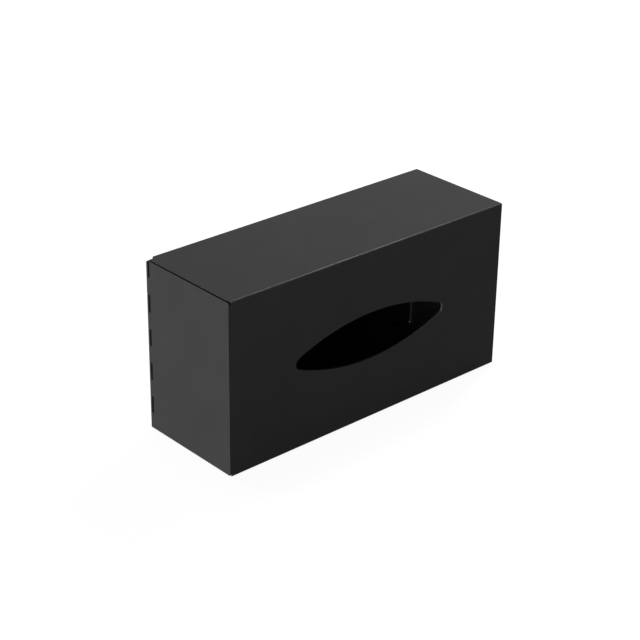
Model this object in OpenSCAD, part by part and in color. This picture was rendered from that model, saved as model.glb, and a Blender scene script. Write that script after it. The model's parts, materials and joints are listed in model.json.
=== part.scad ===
// Tissue box of folded sheet steel, standing on its long side. A cover with a lens-shaped
// opening holds a drawer that slides out to the left: the drawer front closes the left end,
// and the drawer base closes the back.
// X runs left to right, Y front to back, Z up. The origin is the middle of the footprint.

/* [Box] */
// Width of the box, left to right
box_w = 254; // [230:1:290]
// Depth of the box, front to back
box_d = 88; // [76:1:110]
// Height of the folded box, without its pads
box_h = 130; // [118:1:150]
// Thickness of the outer sheet
sheet_t = 1.5; // [1.2:0.1:1.8]
// Inner radius of the folds in the cover
fold_inner_r = 0.5; // [0.3:0.1:1.5]
// Outer radius of the folds, which are pressed sharp
fold_outer_r = 1; // [0.6:0.1:1.5]

/* [Opening] */
// Length of the tissue opening
opening_len = 139; // [110:1:160]
// Height of the tissue opening at its middle
opening_h = 36; // [26:1:50]
// Radius of the blunt ends of the opening
opening_end_r = 4.8; // [3:0.1:8]

/* [Seams] */
// Width of the open mitre between the drawer front and the long walls
long_seam_gap = 0.9; // [0.5:0.1:1.4]
// Width of the open mitre between the drawer front and the front wall
front_seam_gap = 0.4; // [0.1:0.1:1]
// Cut across the two front corners of the drawer front
plate_corner_cut = 1; // [0.5:0.1:2]
// Gap between the drawer base and the long walls
base_side_gap = 0.2; // [0.15:0.05:0.5]
// Gap between the drawer base and the end plate
base_end_gap = 1.1; // [0.6:0.1:2]
// Cut across the free corners of the drawer base
base_corner_cut = 1.2; // [1:0.1:4]
// Gap on each side of a finger in its notch
finger_gap = 0.1; // [0.05:0.05:0.3]
// Running gap of the runners in the guide rails
slide_gap = 0.4; // [0.3:0.05:0.5]
// Gap left where two pieces stop just short of each other
rest_gap = 0.3; // [0.2:0.05:0.5]

/* [Comb] */
// Number of equal segments along the drawer's rear corner
comb_segments = 10; // [6:2:14]
// Depth of the notches in the drawer front
notch_depth = 3.5; // [3:0.1:5]
// Length of the corner cut-out in the upper wall
corner_cut_len = 5.5; // [4:0.1:8]
// Depth of the corner cut-out in the upper wall
corner_cut_depth = 2.6; // [2:0.1:5]

/* [Slides] */
// Travel of the drawer
drawer_travel = 170; // [120:1:175]
// Thickness of the strip steel in rails, runners, stops and strike
strip_t = 1.2; // [1:0.1:1.4]
// Inner radius of the folds in the strip steel
strip_inner_r = 0.6; // [0.3:0.1:0.8]
// Height of the guide rails
rail_h = 7; // [6:0.5:9]
// Free space between the drawer base and a guide rail
rail_setback = 2.5; // [2:0.1:4]
// Distance from the box's left end to the rails
rail_left_margin = 9; // [7:0.5:14]
// Distance from the box's right end to the rails and runners
rail_right_margin = 27; // [24:0.5:34]
// Distance from the box's left end to the runners
runner_left_margin = 4; // [2:0.5:6]
// Height of the runner flange that is welded to the drawer base
runner_flange_h = 8; // [6:0.5:12]
// Space between a rail's free edge and the runner's web
web_gap = 0.8; // [0.5:0.1:1.5]
// Length of the stop lug at the end of each runner
lug_len = 10; // [6:0.5:14]
// Width of the stop lug and of the stop that catches it
lug_w = 7; // [5:0.5:10]
// Length of the stop's foot on the wall
stop_foot_len = 10; // [7:0.5:14]

/* [Catch] */
// Diameter of the catch magnet
magnet_d = 10; // [8:0.5:14]
// Thickness of the catch magnet
magnet_t = 3; // [2:0.5:4]
// Wall and floor of the magnet's steel cup
cup_wall = 1.3; // [1:0.1:2]
// Glue gap between the magnet and its cup
magnet_gap = 0.3; // [0.3:0.05:0.5]
// Height of the strike
strike_h = 16; // [12:0.5:24]
// Length of the strike's foot on the drawer base
strike_foot_len = 12; // [8:0.5:16]
// Distance from the upper wall to the middle of the catch
catch_drop = 30; // [26:0.5:45]
// Space between the drawer base and the magnet's cup
catch_setback = 3; // [2:0.5:6]

/* [Pads] */
// Diameter of the pads that the box stands on
pad_d = 12; // [8:0.5:16]
// Thickness of the pads
pad_t = 0.8; // [0.5:0.1:2]
// Distance from the box's ends to the middle of a pad
pad_inset_x = 20; // [14:0.5:40]
// Distance from the box's front and back to the middle of a pad
pad_inset_y = 15; // [12:0.5:22]

/* [Hidden] */
$fn = 96;

// The outer planes of the box
left_x = -box_w / 2;
right_x = box_w / 2;
front_y = -box_d / 2;
back_y = box_d / 2;
low_z = pad_t;
high_z = pad_t + box_h;
mid_z = (low_z + high_z) / 2;

// Every cut runs past the sheet by one sheet thickness
overrun = sheet_t;
// Each mitre's set-back along its two faces
long_seam_set = long_seam_gap / sqrt(2);
front_seam_set = front_seam_gap / sqrt(2);

// The opening is two large arcs that run smoothly into the two end arcs
opening_a = opening_len / 2;
opening_b = opening_h / 2;
opening_arc_r = (opening_a * opening_a - 2 * opening_a * opening_end_r + opening_b * opening_b)
    / (2 * (opening_b - opening_end_r));
opening_end_x = opening_a - opening_end_r;
opening_join_x = opening_end_x * opening_arc_r / (opening_arc_r - opening_end_r);

// The comb: segments are counted from the top, and every even one is a notch with a finger
segment_h = box_h / comb_segments;
base_inner_y = back_y - sheet_t;
base_low_z = low_z + sheet_t + base_side_gap;
base_high_z = high_z - sheet_t - base_side_gap;
base_left_x = left_x + sheet_t;
base_right_x = right_x - sheet_t - base_end_gap;

// The upper slide, from the wall downwards; the lower slide is its mirror image
wall_z = high_z - sheet_t;
strip_fold_r = strip_t + strip_inner_r;
rail_w = strip_t + 2 * slide_gap + 2 * strip_t;
rail_y = base_inner_y - rail_setback - rail_w / 2;
rail_left_x = left_x + rail_left_margin;
slide_right_x = right_x - rail_right_margin;
runner_left_x = left_x + runner_left_margin;
runner_tip_z = wall_z - strip_t - slide_gap;
web_high_z = wall_z - rail_h - web_gap;
web_low_z = web_high_z - strip_t;
stop_back_y = rail_y - rail_w / 2 - rest_gap;
lug_left_x = slide_right_x - lug_len;
stop_face_x = lug_left_x - drawer_travel - rest_gap;
stop_h = wall_z - web_low_z + strip_t;

// The catch
cup_r = magnet_d / 2 + magnet_gap + cup_wall;
cup_h = magnet_t + cup_wall;
cup_left_x = right_x - sheet_t - cup_h;
catch_y = base_inner_y - catch_setback - cup_r;
catch_z = wall_z - catch_drop;
strike_face_x = cup_left_x - rest_gap;
strike_reach = catch_setback + 2 * cup_r;

// Extrudes an outline drawn in Y and Z along X
module along_x(from_x, to_x) {
    translate([from_x, 0, 0]) rotate([90, 0, 90]) linear_extrude(to_x - from_x) children();
}

// Extrudes an outline drawn in X and Z along Y
module along_y(from_y, to_y) {
    translate([0, to_y, 0]) rotate([90, 0, 0]) linear_extrude(to_y - from_y) children();
}

// Extrudes an outline drawn in X and Y along Z
module along_z(from_z, to_z) {
    translate([0, 0, from_z]) linear_extrude(to_z - from_z) children();
}

// A shape mirrored from the upper half of the box to the lower half
module in_lower_half() {
    translate([0, 0, 2 * mid_z]) mirror([0, 0, 1]) children();
}

// A rectangle that stands on the X axis, with its two lower corners rounded
module round_footed(w, h, r) {
    translate([-w / 2, r]) square([w, h - r]);
    translate([-w / 2 + r, 0]) square([w - 2 * r, h]);
    for (side = [-1, 1]) translate([side * (w / 2 - r), r]) circle(r);
}

// The section of a folded channel: a web on the X axis and two legs upwards
module channel_section(w, h, t, outer_r, inner_r) {
    difference() {
        round_footed(w, h, outer_r);
        translate([0, t]) round_footed(w - 2 * t, h, inner_r);
    }
}

// A quarter of a ring round the origin, in the quadrant of positive X and Y
module fold_section(outer_r, t) {
    intersection() {
        difference() {
            circle(outer_r);
            circle(outer_r - t);
        }
        square(outer_r);
    }
}

// The section of a folded angle with its outer corner at the origin
module angle_section(leg_x, leg_y, t, inner_r) {
    outer_r = t + inner_r;
    translate([outer_r, 0]) square([leg_x - outer_r, t]);
    translate([0, outer_r]) square([t, leg_y - outer_r]);
    translate([outer_r, outer_r]) rotate(180) fold_section(outer_r, t);
}

// The lens with blunt ends, centred on the origin
module opening_outline() {
    intersection() {
        translate([0, opening_b - opening_arc_r]) circle(opening_arc_r, $fn = 360);
        translate([0, opening_arc_r - opening_b]) circle(opening_arc_r, $fn = 360);
        translate([-opening_join_x, -opening_b]) square([2 * opening_join_x, opening_h]);
    }
    for (side = [-1, 1]) translate([side * opening_end_x, 0]) circle(opening_end_r);
}

// What an open mitre takes off the left end of a wall that lies below the X axis
module mitre_wedge(set_back) {
    reach = sheet_t + fold_inner_r;
    polygon([[-overrun, overrun], [set_back - overrun, overrun],
        [set_back + reach, -reach], [-overrun, -reach]]);
}

// What the open mitres take off the left ends of the cover's three walls
module cover_mitre_cut() {
    along_y(front_y - overrun, back_y + overrun) {
        translate([left_x, high_z]) mitre_wedge(long_seam_set);
        translate([left_x, low_z]) mirror([0, 1]) mitre_wedge(long_seam_set);
    }
    along_z(low_z - overrun, high_z + overrun)
        translate([left_x, front_y]) mirror([0, 1]) mitre_wedge(front_seam_set);
}

// Front, upper and lower walls, folded from one sheet
module cover_shell() {
    color("#2b2b2b") difference() {
        along_x(left_x, right_x) translate([front_y, mid_z]) rotate(-90)
            channel_section(box_h, box_d, sheet_t, fold_outer_r, fold_inner_r);
        along_y(front_y - overrun, front_y + sheet_t + overrun)
            translate([0, mid_z]) opening_outline();
        cover_mitre_cut();
        translate([left_x - overrun, back_y - corner_cut_depth, high_z - sheet_t - overrun])
            cube([corner_cut_len + overrun, corner_cut_depth + overrun, sheet_t + 2 * overrun]);
    }
}

// Right end, welded in between the walls, with its front corners clear of the folds
module cover_end() {
    inner_d = box_d - sheet_t;
    inner_h = box_h - 2 * sheet_t;
    relief = 2 * fold_inner_r;
    color("#2b2b2b") along_x(right_x - sheet_t, right_x)
        translate([front_y + sheet_t, low_z + sheet_t])
            polygon([[0, relief], [relief, 0], [inner_d, 0], [inner_d, inner_h],
                [relief, inner_h], [0, inner_h - relief]]);
}

// Folded channel that carries a runner, open towards the middle of the box
module slide_rail() {
    color("#8f9296") along_x(rail_left_x, slide_right_x) translate([rail_y, wall_z]) rotate(180)
        channel_section(rail_w, rail_h, strip_t, strip_fold_r, strip_inner_r);
}

module upper_rail() slide_rail();
module lower_rail() in_lower_half() slide_rail();

// Folded angle on the wall that catches the runner's lug at the end of the travel
module slide_stop() {
    color("#8f9296") along_y(stop_back_y - lug_w, stop_back_y)
        translate([stop_face_x, wall_z]) rotate(180)
            angle_section(stop_foot_len, stop_h, strip_t, strip_inner_r);
}

module upper_stop() slide_stop();
module lower_stop() in_lower_half() slide_stop();

// Folded strip: one flange on the drawer base, a web, and a flange that runs in the rail
module slide_runner() {
    tip_y = rail_y - strip_t / 2;
    color("#8f9296") {
        along_x(runner_left_x, slide_right_x) {
            translate([tip_y, web_low_z + strip_fold_r])
                square([strip_t, runner_tip_z - web_low_z - strip_fold_r]);
            translate([tip_y + strip_fold_r, web_low_z + strip_fold_r]) rotate(180)
                fold_section(strip_fold_r, strip_t);
            translate([tip_y + strip_fold_r, web_low_z])
                square([base_inner_y - tip_y - 2 * strip_fold_r, strip_t]);
            translate([base_inner_y - strip_fold_r, web_high_z - strip_fold_r])
                fold_section(strip_fold_r, strip_t);
            translate([base_inner_y - strip_t, web_high_z - runner_flange_h])
                square([strip_t, runner_flange_h - strip_fold_r]);
        }
        translate([lug_left_x, stop_back_y - lug_w, web_low_z])
            cube([lug_len, tip_y + strip_fold_r - stop_back_y + lug_w, strip_t]);
    }
}

module upper_runner() slide_runner();
module lower_runner() in_lower_half() slide_runner();

// Steel cup of the magnet, glued to the right end
module catch_cup() {
    color("#b4b6b8") translate([cup_left_x, catch_y, catch_z]) rotate([0, 90, 0]) difference() {
        cylinder(r = cup_r, h = cup_h);
        translate([0, 0, -overrun]) cylinder(r = cup_r - cup_wall, h = magnet_t + overrun);
    }
}

module catch_magnet() {
    color("#5a5c60") translate([cup_left_x, catch_y, catch_z]) rotate([0, 90, 0])
        cylinder(d = magnet_d, h = magnet_t);
}

// Folded angle on the drawer base that the magnet holds
module catch_strike() {
    color("#8f9296") along_z(catch_z - strike_h / 2, catch_z + strike_h / 2)
        translate([strike_face_x, base_inner_y]) rotate(180)
            angle_section(strike_foot_len, strike_reach, strip_t, strip_inner_r);
}

// Four thin pads under the lower wall
module foot_pads() {
    color("#3a3a3c") for (side_x = [-1, 1], side_y = [-1, 1])
        translate([side_x * (box_w / 2 - pad_inset_x), side_y * (box_d / 2 - pad_inset_y), 0])
            cylinder(d = pad_d, h = pad_t);
}

// Plate that closes the back, with the fingers that pass through the drawer front
module drawer_base() {
    color("#2b2b2b") {
        along_y(base_inner_y, back_y) polygon([
            [base_left_x, base_low_z], [base_right_x - base_corner_cut, base_low_z],
            [base_right_x, base_low_z + base_corner_cut],
            [base_right_x, base_high_z - base_corner_cut],
            [base_right_x - base_corner_cut, base_high_z], [base_left_x, base_high_z]]);
        for (segment = [0 : 2 : comb_segments - 1]) {
            finger_high_z = min(high_z - segment * segment_h - finger_gap, base_high_z);
            finger_low_z = high_z - (segment + 1) * segment_h + finger_gap;
            translate([left_x, base_inner_y, finger_low_z])
                cube([2 * sheet_t, sheet_t, finger_high_z - finger_low_z]);
        }
    }
}

// Plate that closes the left end, mitred towards the cover and notched for the fingers
module drawer_front() {
    inner_x = left_x + sheet_t;
    plate_front_y = front_y + front_seam_set;
    plate_low_z = low_z + long_seam_set;
    plate_high_z = high_z - long_seam_set;
    color("#2b2b2b") difference() {
        intersection() {
            along_x(left_x, inner_x) polygon([
                [plate_front_y + plate_corner_cut, plate_low_z], [back_y, plate_low_z],
                [back_y, plate_high_z], [plate_front_y + plate_corner_cut, plate_high_z],
                [plate_front_y, plate_high_z - plate_corner_cut],
                [plate_front_y, plate_low_z + plate_corner_cut]]);
            along_y(front_y, back_y) polygon([
                [left_x, plate_low_z], [left_x, plate_high_z],
                [inner_x, plate_high_z - sheet_t], [inner_x, plate_low_z + sheet_t]]);
            along_z(low_z, high_z) polygon([
                [left_x, plate_front_y], [inner_x, plate_front_y + sheet_t],
                [inner_x, back_y], [left_x, back_y]]);
        }
        for (segment = [0 : 2 : comb_segments - 1]) {
            is_top = segment == 0;
            notch_low_z = high_z - (segment + 1) * segment_h;
            translate([left_x - overrun, back_y - notch_depth, notch_low_z])
                cube([sheet_t + 2 * overrun, notch_depth + overrun,
                    segment_h + (is_top ? overrun : 0)]);
        }
    }
}

cover_shell();
cover_end();
upper_rail();
lower_rail();
upper_stop();
lower_stop();
catch_cup();
catch_magnet();
foot_pads();
drawer_base();
drawer_front();
upper_runner();
lower_runner();
catch_strike();
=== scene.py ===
import json
import math

import bmesh
import bpy
from mathutils import Matrix, Vector


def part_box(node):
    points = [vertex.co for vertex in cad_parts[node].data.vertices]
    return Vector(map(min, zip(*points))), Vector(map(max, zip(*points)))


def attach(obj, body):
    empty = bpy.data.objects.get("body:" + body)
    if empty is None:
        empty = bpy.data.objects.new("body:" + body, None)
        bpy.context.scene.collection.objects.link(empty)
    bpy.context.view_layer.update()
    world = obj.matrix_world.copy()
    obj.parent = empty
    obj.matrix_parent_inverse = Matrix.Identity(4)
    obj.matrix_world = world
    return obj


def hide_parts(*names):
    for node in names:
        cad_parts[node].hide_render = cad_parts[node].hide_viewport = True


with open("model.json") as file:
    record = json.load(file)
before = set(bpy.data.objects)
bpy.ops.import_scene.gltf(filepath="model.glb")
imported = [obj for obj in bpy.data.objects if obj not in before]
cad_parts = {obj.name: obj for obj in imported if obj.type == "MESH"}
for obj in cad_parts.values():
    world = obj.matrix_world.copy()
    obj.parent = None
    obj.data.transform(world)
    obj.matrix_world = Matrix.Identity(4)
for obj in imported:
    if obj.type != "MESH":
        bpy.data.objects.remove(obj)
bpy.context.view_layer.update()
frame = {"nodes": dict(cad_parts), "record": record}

# Every node of the box gets a visible copy with its coat, rounded cut edges and spot welds, and the
# welded corners get beads. X runs left to right, Y front to back and Z up, in metres

SCENE = bpy.context.scene
MM = 0.001
X, Y, Z = range(3)
LEFT, RIGHT = Vector((-1, 0, 0)), Vector((1, 0, 0))
FRONT, BACK = Vector((0, -1, 0)), Vector((0, 1, 0))
DOWN, UP = Vector((0, 0, -1)), Vector((0, 0, 1))

# The camera, fitted to the box's seven visible corners in a picture of 640 by 640 pixels.
# Angles are in degrees. The aim and the distance, in metres, are measured from the origin
CAMERA_AZIMUTH = -42.08
CAMERA_ELEVATION = 26.53
CAMERA_ROLL = 0.83
CAMERA_DISTANCE = 1.2765
CAMERA_AIM_RIGHT = -0.0059
CAMERA_AIM_UP = 0.0544
CAMERA_FOCAL_PIXELS = 1752
PICTURE_PIXELS = 640
SENSOR_MM = 36

# Where lamps aim: low in the box, high in it, or at the upper part of its front
LOW_AIM = (0, 0, 0.06)
HIGH_AIM = (0, 0, 0.1)
FRONT_AIM = (0.02, -0.044, 0.1)

# Colours, as the share of red, green and blue light that is thrown back
WHITE = (1, 1, 1)
BLACK = (0.040, 0.040, 0.040)
# A paler black for the cut faces at the opening's right end: a painted highlight where the cut wall
# catches the light
PAINTED_HIGHLIGHT_BLACK = (0.065, 0.065, 0.065)
STRIP_BLACK = (0.034, 0.034, 0.035)
WORN_STEEL = (0.2, 0.2, 0.2)
NICKEL = (0.6, 0.59, 0.57)
FERRITE = (0.12, 0.12, 0.125)
RUBBER = (0.02, 0.02, 0.02)

# Powder coat: how wide its blotches, grain and orange peel are, and how much the last two stand out
BLOTCH_SIZE = 30 * MM
GRAIN_SIZE = 0.5 * MM
GRAIN_DEPTH = 0.03 * MM
WORN_GRAIN_DEPTH = 0.01 * MM
GRAIN_STRENGTH = 0.4
PEEL_SIZE = 2.5 * MM
PEEL_DEPTH = 0.05 * MM
PEEL_STRENGTH = 0.25
# How far blotches and grain stray from the coat's own tone and roughness
BLOTCH_TONE_SHARE = 0.1
BLOTCH_ROUGHNESS = 0.05
GRAIN_TONE_SHARE = 0.15

# Rubbed coat: how glossy it is, how wide its streaks are, how much less the noise changes along
# them than across, and how much they stand out
RUBBED_GLOSS = 0.1
STREAK_SIZE = 0.7 * MM
STREAK_SQUEEZE = 0.02
STREAK_DEPTH = 0.02 * MM
STREAK_STRENGTH = 0.3
# The noise at which steel starts to show, and at which only steel shows
BARE_START = 0.5
BARE_END = 0.68
# How metallic bare steel is, and its roughness as a share of the coat's
BARE_METALLIC = 0.8
BARE_ROUGHNESS_SHARE = 0.7

# Nickel plate: how wide its dull spots are, and how far they stray in roughness
PLATE_SPOT_SIZE = 0.4 * MM
PLATE_SPOT_ROUGHNESS = 0.08

# Ferrite and rubber: how much their grain stands out, how far it strays in tone, and how wide it is
MATT_GRAIN_DEPTH = 0.1 * MM
MATT_GRAIN_STRENGTH = 0.5
MATT_TONE_SHARE = 0.3
FERRITE_GRAIN_SIZE = 0.3 * MM
RUBBER_GRAIN_SIZE = 0.5 * MM

# Which nodes are outer sheet, and which are strip steel
SHEETS = ("cover_shell", "cover_end", "drawer_base", "drawer_front")
STRIPS = ("upper_rail", "lower_rail", "upper_stop", "lower_stop",
          "upper_runner", "lower_runner", "catch_strike")

# Points closer than this are one point, and faces that turn by less than this are one flat face
WELD_DISTANCE = 0.002 * MM
FLAT_ANGLE = math.radians(0.5)
# The rounding of a cut edge, and the least turn between two faces that makes an edge
EDGE_RADIUS = 0.2 * MM
EDGE_SEGMENTS = 3
EDGE_ANGLE = math.radians(40)

# How far a normal leans: in a fold from both of its walls, at the opening's right end to the left,
# and on a sliding face to the front or back
FOLD_LEAN = 0.02
OPENING_END_LEAN = 0.7
SLIDE_LEAN = 0.9
# The opening's cut faces are further than this from the box's ends
OPENING_SIDE_DISTANCE = 20 * MM

# Spot welds: the bowl that the electrode leaves, and its place on the flange that is welded
BOWL_RADIUS = 2.3 * MM
BOWL_DEPTH = 0.22 * MM
BOWL_RINGS = 4
BOWL_SIDES = 32
SPOT_EDGE_DISTANCE = 3.2 * MM
RUNNER_SPOTS = 6
RUNNER_SPOT_MARGIN = 12 * MM
STRIKE_SPOT_OFFSET = 4 * MM

# Stitch welds: a bead is a row of rings of points, in scales that each fall off over a few rings
BEAD_LEG = 1.7 * MM
BEAD_STEP = 0.2 * MM
BEAD_SIDES = 6
BEAD_SCALE_STEPS = 5
BEAD_SCALE_SHARE = 0.16
BEAD_BULGE_SHARE = 0.16
# The share of the leg that is left at a bead's ends, and how sharply it falls off towards them
BEAD_END_SHARE = 0.3
BEAD_END_POWER = 8
# Beads in the cover's corners, and their middles as shares of the right end's depth and height
CORNER_BEAD_LENGTH = 16 * MM
CORNER_BEAD_SINK = 0.1 * MM
CORNER_DEPTH_SHARES = (0.2, 0.5, 0.8)
CORNER_HEIGHT_SHARES = (0.15, 0.5, 0.85)
# Length of a bead in the drawer's corner, as a share of the stretch between two fingers
DRAWER_BEAD_SHARE = 0.75
# Short beads, or tacks, along the rails
TACK_LENGTH = 7 * MM
TACK_MARGIN = 8 * MM
TACK_SINK = 0.5 * MM
TACKS_PER_RAIL = 4


def add_object(name, data):
    piece = bpy.data.objects.new(name, data)
    SCENE.collection.objects.link(piece)
    return piece


def box_corners(node):
    """A node's lowest and highest corners."""
    return [Vector(corner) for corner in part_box(node)]


def even_places(low, high, margin, count):
    """Places in even steps, the first and the last a margin away from the ends."""
    step = (high - low - 2 * margin) / (count - 1)
    return [low + margin + i * step for i in range(count)]


# Camera

def make_camera():
    azimuth, elevation = math.radians(CAMERA_AZIMUTH), math.radians(CAMERA_ELEVATION)
    back = Vector((math.sin(azimuth) * math.cos(elevation),
                   -math.cos(azimuth) * math.cos(elevation), math.sin(elevation)))
    right = Vector((math.cos(azimuth), math.sin(azimuth), 0))
    turned = Matrix((right, back.cross(right), back)).transposed()
    turned = turned @ Matrix.Rotation(math.radians(CAMERA_ROLL), 3, "Z")
    data = bpy.data.cameras.new("camera")
    data.sensor_width = SENSOR_MM
    data.lens = CAMERA_FOCAL_PIXELS / PICTURE_PIXELS * SENSOR_MM
    camera = add_object("camera", data)
    place = Vector((CAMERA_AIM_RIGHT, CAMERA_AIM_UP, CAMERA_DISTANCE))
    camera.matrix_world = Matrix.Translation(turned @ place) @ turned.to_4x4()
    SCENE.camera = camera


# Shader nodes

def new_material(name):
    """A material that holds the standard shader, with its nodes and links."""
    material = bpy.data.materials.new(name)
    material.use_nodes = True
    return material, material.node_tree.nodes, material.node_tree.links


def blend_values(nodes, links, factor, low, high):
    """A value that goes from low to high as factor goes from 0 to 1."""
    ramp = nodes.new("ShaderNodeMapRange")
    ramp.inputs["To Min"].default_value = low
    ramp.inputs["To Max"].default_value = high
    links.new(factor, ramp.inputs["Value"])
    return ramp.outputs[0]


def blend_colours(nodes, links, factor, low, high):
    """A colour that goes from low to high as factor goes from 0 to 1."""
    mix = nodes.new("ShaderNodeMix")
    mix.data_type = "RGBA"
    mix.inputs["A"].default_value = (*low, 1)
    mix.inputs["B"].default_value = (*high, 1)
    links.new(factor, mix.inputs["Factor"])
    return mix.outputs["Result"]


def vary_tone(nodes, links, factor, colour, share):
    """A colour that strays from its own tone by a share, darker to paler as factor goes from 0 to 1."""
    darker = [(1 - share) * channel for channel in colour]
    paler = [(1 + share) * channel for channel in colour]
    return blend_colours(nodes, links, factor, darker, paler)


def vary_roughness(nodes, links, factor, shader, roughness, spread):
    """Lets a shader's roughness stray by spread to either side, as factor goes from 0 to 1."""
    links.new(blend_values(nodes, links, factor, roughness - spread, roughness + spread),
              shader.inputs["Roughness"])


def noise(nodes, links, where, size, detail):
    """Noise whose blotches are about size metres across."""
    texture = nodes.new("ShaderNodeTexNoise")
    texture.inputs["Scale"].default_value = 1 / size
    texture.inputs["Detail"].default_value = detail
    links.new(where, texture.inputs["Vector"])
    return texture.outputs["Fac"]


def bump(nodes, links, height, strength, depth):
    """A bump node that height drives, depth metres deep."""
    node = nodes.new("ShaderNodeBump")
    node.inputs["Strength"].default_value = strength
    node.inputs["Distance"].default_value = depth
    links.new(height, node.inputs["Height"])
    return node


def seen_directly(nodes, links):
    """1 for what the camera sees, also in a gloss or through a pane, and 0 for what lights things."""
    path = nodes.new("ShaderNodeLightPath")
    seen = path.outputs["Is Camera Ray"]
    for ray in ("Is Glossy Ray", "Is Transmission Ray"):
        larger = nodes.new("ShaderNodeMath")
        larger.operation = "MAXIMUM"
        links.new(seen, larger.inputs[0])
        links.new(path.outputs[ray], larger.inputs[1])
        seen = larger.outputs[0]
    return seen


# Studio

def soft_light(name, place, size, power, aim=LOW_AIM, reflected=True):
    """An area lamp. One that isn't reflected lights surfaces without a glare on them."""
    data = bpy.data.lights.new(name, "AREA")
    data.shape = "RECTANGLE"
    data.size, data.size_y = size
    data.energy = power
    light = add_object(name, data)
    light.location = place
    light.rotation_euler = (Vector(aim) - Vector(place)).to_track_quat("-Z", "Y").to_euler()
    light.visible_glossy = reflected


def make_world(ambient):
    """A white background that lights things by no more than ambient."""
    world = bpy.data.worlds.new("studio")
    world.use_nodes = True
    nodes, links = world.node_tree.nodes, world.node_tree.links
    nodes.clear()
    background = nodes.new("ShaderNodeBackground")
    background.inputs["Color"].default_value = (*WHITE, 1)
    links.new(blend_values(nodes, links, seen_directly(nodes, links), ambient, 1),
              background.inputs["Strength"])
    out = nodes.new("ShaderNodeOutputWorld")
    links.new(background.outputs[0], out.inputs["Surface"])
    SCENE.world = world


def pale_floor(bounce, seen_tone, whitening):
    """A floor that throws back bounce of the light, and looks white but for a faint shadow.

    To the camera its tone is seen_tone, and a white glow makes up a share whitening of what is seen.
    """
    material, nodes, links = new_material("pale_floor")
    nodes.clear()
    seen = seen_directly(nodes, links)
    diffuse = nodes.new("ShaderNodeBsdfDiffuse")
    links.new(blend_values(nodes, links, seen, bounce, seen_tone), diffuse.inputs["Color"])
    glow = nodes.new("ShaderNodeEmission")
    glow.inputs["Color"].default_value = (*WHITE, 1)
    share = nodes.new("ShaderNodeMath")
    share.operation = "MULTIPLY"
    share.inputs[1].default_value = whitening
    links.new(seen, share.inputs[0])
    mix = nodes.new("ShaderNodeMixShader")
    links.new(share.outputs[0], mix.inputs["Fac"])
    links.new(diffuse.outputs[0], mix.inputs[1])
    links.new(glow.outputs[0], mix.inputs[2])
    out = nodes.new("ShaderNodeOutputMaterial")
    links.new(mix.outputs[0], out.inputs["Surface"])
    return material


def make_floor(half_size, material):
    bm = bmesh.new()
    bmesh.ops.create_grid(bm, x_segments=1, y_segments=1, size=half_size)
    mesh = bpy.data.meshes.new("floor")
    bm.to_mesh(mesh)
    bm.free()
    mesh.materials.append(material)
    floor = add_object("floor", mesh)


# Materials

def powder_coat(name, colour, grain_depth, roughness, gloss):
    """Baked powder coat: fine grain on orange peel, with slight blotches in tone and roughness."""
    material, nodes, links = new_material(name)
    shader = nodes["Principled BSDF"]
    shader.inputs["Specular IOR Level"].default_value = gloss
    where = nodes.new("ShaderNodeTexCoord").outputs["Object"]
    blotch = noise(nodes, links, where, BLOTCH_SIZE, detail=2)
    grain = noise(nodes, links, where, GRAIN_SIZE, detail=2)
    peel = noise(nodes, links, where, PEEL_SIZE, detail=1)

    speck = nodes.new("ShaderNodeMix")
    speck.data_type = "RGBA"
    speck.blend_type = "MULTIPLY"
    speck.inputs["Factor"].default_value = 1
    links.new(vary_tone(nodes, links, blotch, colour, BLOTCH_TONE_SHARE), speck.inputs["A"])
    links.new(blend_values(nodes, links, grain, 1 - GRAIN_TONE_SHARE, 1 + GRAIN_TONE_SHARE),
              speck.inputs["B"])
    links.new(speck.outputs["Result"], shader.inputs["Base Color"])
    vary_roughness(nodes, links, blotch, shader, roughness, BLOTCH_ROUGHNESS)

    peel_bump = bump(nodes, links, peel, PEEL_STRENGTH, PEEL_DEPTH)
    grain_bump = bump(nodes, links, grain, GRAIN_STRENGTH, grain_depth)
    links.new(peel_bump.outputs["Normal"], grain_bump.inputs["Normal"])
    links.new(grain_bump.outputs["Normal"], shader.inputs["Normal"])
    return material


def rubbed_coat(name, colour, steel, roughness):
    """Coat on a face that slides, with streaks along X where it is rubbed through to the steel."""
    material, nodes, links = new_material(name)
    shader = nodes["Principled BSDF"]
    shader.inputs["Specular IOR Level"].default_value = RUBBED_GLOSS
    where = nodes.new("ShaderNodeTexCoord").outputs["Object"]
    squeeze = nodes.new("ShaderNodeMapping")
    squeeze.inputs["Scale"].default_value = (STREAK_SQUEEZE, 1, 1)
    links.new(where, squeeze.inputs["Vector"])
    streaks = noise(nodes, links, squeeze.outputs["Vector"], STREAK_SIZE, detail=3)
    ramp = nodes.new("ShaderNodeMapRange")
    ramp.inputs["From Min"].default_value = BARE_START
    ramp.inputs["From Max"].default_value = BARE_END
    links.new(streaks, ramp.inputs["Value"])
    bare = ramp.outputs[0]
    links.new(blend_colours(nodes, links, bare, colour, steel), shader.inputs["Base Color"])
    links.new(blend_values(nodes, links, bare, 0, BARE_METALLIC), shader.inputs["Metallic"])
    links.new(blend_values(nodes, links, bare, roughness, BARE_ROUGHNESS_SHARE * roughness),
              shader.inputs["Roughness"])
    scratches = bump(nodes, links, streaks, STREAK_STRENGTH, STREAK_DEPTH)
    links.new(scratches.outputs["Normal"], shader.inputs["Normal"])
    return material


def plated_steel(name, colour, roughness):
    """Nickel plate with a fine, slightly uneven gloss."""
    material, nodes, links = new_material(name)
    shader = nodes["Principled BSDF"]
    shader.inputs["Metallic"].default_value = 1
    shader.inputs["Base Color"].default_value = (*colour, 1)
    where = nodes.new("ShaderNodeTexCoord").outputs["Object"]
    spots = noise(nodes, links, where, PLATE_SPOT_SIZE, detail=3)
    vary_roughness(nodes, links, spots, shader, roughness, PLATE_SPOT_ROUGHNESS)
    return material


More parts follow.
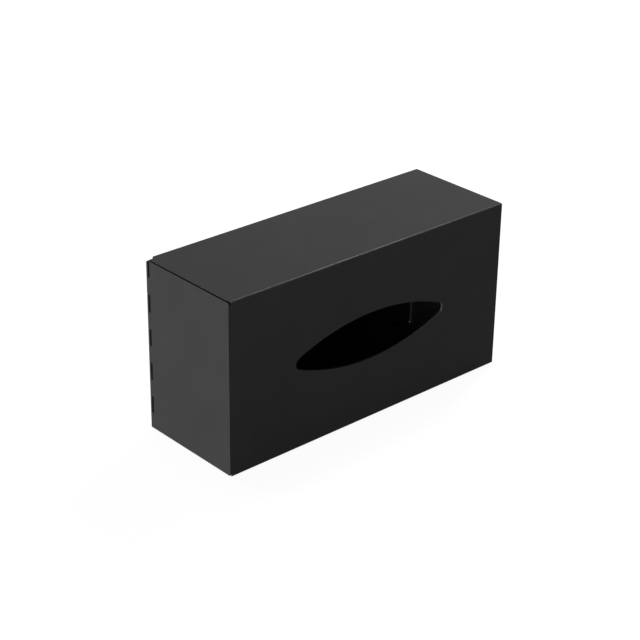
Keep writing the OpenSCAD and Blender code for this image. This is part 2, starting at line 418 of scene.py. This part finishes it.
def matt_black(name, colour, grain_size, roughness):
    """Ferrite or rubber: a dull dark body with a fine grain."""
    material, nodes, links = new_material(name)
    shader = nodes["Principled BSDF"]
    shader.inputs["Roughness"].default_value = roughness
    where = nodes.new("ShaderNodeTexCoord").outputs["Object"]
    grain = noise(nodes, links, where, grain_size, detail=2)
    links.new(vary_tone(nodes, links, grain, colour, MATT_TONE_SHARE), shader.inputs["Base Color"])
    grain_bump = bump(nodes, links, grain, MATT_GRAIN_STRENGTH, MATT_GRAIN_DEPTH)
    links.new(grain_bump.outputs["Normal"], shader.inputs["Normal"])
    return material


# Meshes

def smooth(mesh):
    for polygon in mesh.polygons:
        polygon.use_smooth = True


def join_rings(bm, rings):
    """Quads between each ring of points and the next."""
    for first, second in zip(rings, rings[1:]):
        for i in range(len(first)):
            j = (i + 1) % len(first)
            bm.faces.new((first[i], first[j], second[j], second[i]))


def finished_mesh(bm, name):
    """The mesh of closed forms, with their faces turned outwards and smooth."""
    bmesh.ops.recalc_face_normals(bm, faces=bm.faces)
    mesh = bpy.data.meshes.new(name)
    bm.to_mesh(mesh)
    bm.free()
    smooth(mesh)
    return mesh


# Faces with a coat of their own

def is_fold(polygon):
    """A face of a fold leans from both of its walls."""
    normal = polygon.normal
    return min(abs(normal.y), abs(normal.z)) > FOLD_LEAN > abs(normal.x)


def is_opening_end(polygon):
    """The opening's right end: cut faces of the front wall that look left, away from the box's ends."""
    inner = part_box("cover_end")[0]
    side_distance = inner[X] - abs(polygon.center.x)
    looks_left = polygon.normal.x < -OPENING_END_LEAN and polygon.center.y < inner[Y]
    return looks_left and side_distance > OPENING_SIDE_DISTANCE


def slides_in(rail):
    """A test that tells whether a runner's face slides in the rail."""
    low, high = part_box(rail)
    return lambda polygon: (abs(polygon.normal.y) > SLIDE_LEAN
                            and low[Z] < polygon.center.z < high[Z])


# Spot welds

def bowls(centres, outward):
    """Shallow closed bowls whose rims lie on a flat face that looks outward."""
    bm = bmesh.new()
    turn = outward.to_track_quat("Z", "Y").to_matrix()
    angles = [2 * math.pi * side / BOWL_SIDES for side in range(BOWL_SIDES)]
    for centre in centres:
        rings = []
        # The last ring lies outside the rim, so that the cutter runs past the face
        for ring in range(1, BOWL_RINGS + 2):
            share = ring / BOWL_RINGS
            radius, height = share * BOWL_RADIUS, (share * share - 1) * BOWL_DEPTH
            points = [Vector((radius * math.cos(angle), radius * math.sin(angle), height))
                      for angle in angles]
            rings.append([bm.verts.new(centre + turn @ point) for point in points])
        join_rings(bm, rings)
        bm.faces.new(rings[-1])
        bottom = bm.verts.new(centre - BOWL_DEPTH * outward)
        for i in range(BOWL_SIDES):
            bm.faces.new((bottom, rings[0][i], rings[0][(i + 1) % BOWL_SIDES]))
    return finished_mesh(bm, "bowls")


def inner_face(node, edge_axis, edge, face_axis, pick):
    """Where a welded flange's inner face lies, read from the corners along its free edge."""
    points = [vertex.co for vertex in frame["nodes"][node].data.vertices]
    return pick(p[face_axis] for p in points if abs(p[edge_axis] - edge) < WELD_DISTANCE)


def spot_welds(node):
    """The middles of a node's spot welds, and the way out of the face that they are on."""
    low, high = box_corners(node)
    middle = (low + high) / 2
    is_upper = node.startswith("upper")
    if node.endswith("runner"):
        edge = low.z if is_upper else high.z
        z = edge + (SPOT_EDGE_DISTANCE if is_upper else -SPOT_EDGE_DISTANCE)
        y = inner_face(node, Z, edge, Y, min)
        places = even_places(low.x, high.x, RUNNER_SPOT_MARGIN, RUNNER_SPOTS)
        return [Vector((x, y, z)) for x in places], FRONT
    if node.endswith("stop"):
        z = inner_face(node, X, low.x, Z, min if is_upper else max)
        return [Vector((low.x + SPOT_EDGE_DISTANCE, middle.y, z))], DOWN if is_upper else UP
    if node == "catch_strike":
        y = inner_face(node, X, low.x, Y, min)
        heights = (middle.z - STRIKE_SPOT_OFFSET, middle.z + STRIKE_SPOT_OFFSET)
        return [Vector((low.x + SPOT_EDGE_DISTANCE, y, z)) for z in heights], FRONT
    return [], FRONT


def press_bowls(piece, bowl_mesh):
    """Applies a piece's modifiers, and cuts the bowls of its spot welds out of it."""
    cutter = add_object("bowls", bowl_mesh)
    cut = piece.modifiers.new("spot_welds", "BOOLEAN")
    cut.object = cutter
    cut.solver = "EXACT"
    plain = piece.data
    evaluated = piece.evaluated_get(bpy.context.evaluated_depsgraph_get())
    piece.data = bpy.data.meshes.new_from_object(evaluated)
    piece.data.name = plain.name
    piece.modifiers.clear()
    bpy.data.meshes.remove(plain)
    bpy.data.objects.remove(cutter)
    bpy.data.meshes.remove(bowl_mesh)


# Stitch welds

def lay_bead(bm, start, end, leg_a, leg_b):
    """A scaled fillet along a corner, whose legs go from it along leg_a and leg_b."""
    steps = round((end - start).length / BEAD_STEP)
    rings = []
    for step in range(steps + 1):
        share = step / steps
        end_fall = 1 - (1 - BEAD_END_SHARE) * abs(2 * share - 1) ** BEAD_END_POWER
        scale_fall = 1 - BEAD_SCALE_SHARE * (step % BEAD_SCALE_STEPS) / BEAD_SCALE_STEPS
        leg = BEAD_LEG * end_fall * scale_fall
        corner = start.lerp(end, share)
        ring = [corner]
        for side in range(BEAD_SIDES + 1):
            turn = side / BEAD_SIDES
            # The bulge is full where the turn is half, and nothing at the two legs
            swell = 1 + 4 * BEAD_BULGE_SHARE * turn * (1 - turn)
            ring.append(corner + leg * swell * ((1 - turn) * leg_a + turn * leg_b))
        rings.append([bm.verts.new(point) for point in ring])
    join_rings(bm, rings)
    bm.faces.new(rings[0])
    bm.faces.new(rings[-1])


def lay_beads(bm, corner, along, places, length, leg_a, leg_b, sink):
    """Beads of one length along a corner, at places measured along one axis, sunk into both walls."""
    start = Vector(corner) - sink * (leg_a + leg_b)
    for place in places:
        start[along] = place - length / 2
        end = start.copy()
        end[along] = place + length / 2
        lay_bead(bm, start, end, leg_a, leg_b)


def weld_piece(bm, name, body, material):
    piece = add_object(name, finished_mesh(bm, name))
    piece.data.materials.append(material)
    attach(piece, body)


def weld_cover(material):
    """Beads between the right end and the three walls, and tacks along the rails."""
    low, high = box_corners("cover_end")
    depths = [low.y + (high.y - low.y) * share for share in CORNER_DEPTH_SHARES]
    heights = [low.z + (high.z - low.z) * share for share in CORNER_HEIGHT_SHARES]
    upper_corner = (low.x, low.y, high.z)
    bm = bmesh.new()
    lay_beads(bm, low, Z, heights, CORNER_BEAD_LENGTH, LEFT, BACK, CORNER_BEAD_SINK)
    lay_beads(bm, low, Y, depths, CORNER_BEAD_LENGTH, LEFT, UP, CORNER_BEAD_SINK)
    lay_beads(bm, upper_corner, Y, depths, CORNER_BEAD_LENGTH, LEFT, DOWN, CORNER_BEAD_SINK)
    for rail, wall_z, inwards in (("upper_rail", high.z, DOWN), ("lower_rail", low.z, UP)):
        rail_low, rail_high = box_corners(rail)
        corner = (rail_low.x, rail_low.y + TACK_SINK, wall_z)
        places = even_places(rail_low.x, rail_high.x, TACK_MARGIN, TACKS_PER_RAIL)
        lay_beads(bm, corner, X, places, TACK_LENGTH, FRONT, inwards, sink=0)
    weld_piece(bm, "cover_weld_beads", "cover", material)


def weld_drawer(material):
    """Beads in the drawer's corner, between its fingers, where the front plate is whole."""
    base_low = box_corners("drawer_base")[0]
    inner_x = box_corners("drawer_front")[1].x
    corner = (inner_x, base_low.y, base_low.z)
    points = [vertex.co for vertex in frame["nodes"]["drawer_base"].data.vertices]
    finger_edges = sorted({round(p.z / WELD_DISTANCE) * WELD_DISTANCE for p in points
                           if p.x - base_low.x < WELD_DISTANCE})
    bm = bmesh.new()
    # Each finger has two edges, so a gap lies between every second edge and the one after it
    for low_z, high_z in zip(finger_edges[1::2], finger_edges[2::2]):
        length = DRAWER_BEAD_SHARE * (high_z - low_z)
        lay_beads(bm, corner, Z, [(low_z + high_z) / 2], length, RIGHT, FRONT, CORNER_BEAD_SINK)
    weld_piece(bm, "drawer_weld_beads", "drawer", material)


# The nodes' visible copies

def coated_copy(node, material, special_coats):
    """A node's mesh with its flat faces made whole. A face that passes a special coat's test has it."""
    bm = bmesh.new()
    bm.from_mesh(frame["nodes"][node].data)
    bmesh.ops.remove_doubles(bm, verts=bm.verts, dist=WELD_DISTANCE)
    bmesh.ops.dissolve_limit(bm, angle_limit=FLAT_ANGLE, verts=bm.verts, edges=bm.edges)
    mesh = bpy.data.meshes.new(node + "_dressed")
    bm.to_mesh(mesh)
    bm.free()
    smooth(mesh)
    mesh.materials.append(material)
    for index, (special_coat, belongs) in enumerate(special_coats, 1):
        mesh.materials.append(special_coat)
        for polygon in mesh.polygons:
            if belongs(polygon):
                polygon.material_index = index
    return mesh


def dress(node, body, material, special_coats):
    """Stands a copy for a node, with its cut edges rounded and its spot welds pressed in."""
    piece = add_object(node + "_dressed", coated_copy(node, material, special_coats))
    bevel = piece.modifiers.new("rounded_edges", "BEVEL")
    bevel.width = EDGE_RADIUS
    bevel.segments = EDGE_SEGMENTS
    bevel.limit_method = "ANGLE"
    bevel.angle_limit = EDGE_ANGLE
    bevel.use_clamp_overlap = False
    centres, outward = spot_welds(node)
    if centres:
        press_bowls(piece, bowls(centres, outward))
    normals = piece.modifiers.new("flat_faces_stay_flat", "WEIGHTED_NORMAL")
    normals.mode = "FACE_AREA"
    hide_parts(node)
    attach(piece, body)


def dress_all():
    """Dresses every node, and adds the weld beads."""
    coat = powder_coat("black_powder_coat", BLACK, GRAIN_DEPTH, roughness=0.4, gloss=0.015)
    fold_coat = powder_coat("burnished_fold_coat", BLACK, WORN_GRAIN_DEPTH, roughness=0.28, gloss=0.07)
    # The opening's right end has a glossier coat, and its paler black is a painted highlight
    end_coat = powder_coat("glossy_end_coat_painted_highlight", PAINTED_HIGHLIGHT_BLACK, WORN_GRAIN_DEPTH, roughness=0.3, gloss=0.4)
    strip_coat = powder_coat("black_coat_on_strip", STRIP_BLACK, GRAIN_DEPTH, roughness=0.5, gloss=0.1)
    slide_coat = rubbed_coat("rubbed_coat_on_strip", STRIP_BLACK, WORN_STEEL, roughness=0.5)
    coats = dict.fromkeys(SHEETS, coat) | dict.fromkeys(STRIPS, strip_coat)
    coats["catch_cup"] = plated_steel("nickel_plate", NICKEL, roughness=0.35)
    coats["catch_magnet"] = matt_black("ferrite", FERRITE, FERRITE_GRAIN_SIZE, roughness=0.7)
    coats["foot_pads"] = matt_black("pad_rubber", RUBBER, RUBBER_GRAIN_SIZE, roughness=0.8)
    special_coats = {
        "cover_shell": [(fold_coat, is_fold), (end_coat, is_opening_end)],
        "upper_runner": [(slide_coat, slides_in("upper_rail"))],
        "lower_runner": [(slide_coat, slides_in("lower_rail"))],
    }
    for body, members in frame["record"]["behaviour"]["bodies"].items():
        for node in members:
            dress(node, body, coats[node], special_coats.get(node, []))
    weld_cover(coat)
    weld_drawer(coat)


# The scene. Places and sizes are in metres, and powers in watts

make_camera()
make_world(ambient=0.01)
make_floor(half_size=1.6, material=pale_floor(bounce=0.3, seen_tone=1.8, whitening=0.93))
soft_light("key_left", place=(-3.41, -0.3, 0.3), size=(0.8, 0.6), power=108, reflected=False)
soft_light("top_right", place=(0.87, 0.32, 1.17), size=(0.3, 0.3), power=13.7, aim=HIGH_AIM)
soft_light("overhead", place=(0.1, 0.9, 2.2), size=(1, 1), power=10.7, aim=HIGH_AIM)
soft_light("front_strip", place=(0.02, -0.16, 0.26), size=(0.6, 0.06), power=0.06, aim=FRONT_AIM)
soft_light("high_front", place=(0, -1.2, 1.9), size=(0.8, 0.8), power=3.2)
soft_light("front_left", place=(-1.34, -0.714, 0.494), size=(0.5, 0.5), power=3.5, reflected=False)
soft_light("back_left", place=(-0.9, 2.4, 0.8), size=(0.8, 0.8), power=21, reflected=False)
soft_light("right", place=(2.4, 0.2, 0.7), size=(0.8, 0.8), power=15, reflected=False)
dress_all()

SCENE.view_settings.view_transform = "Standard"
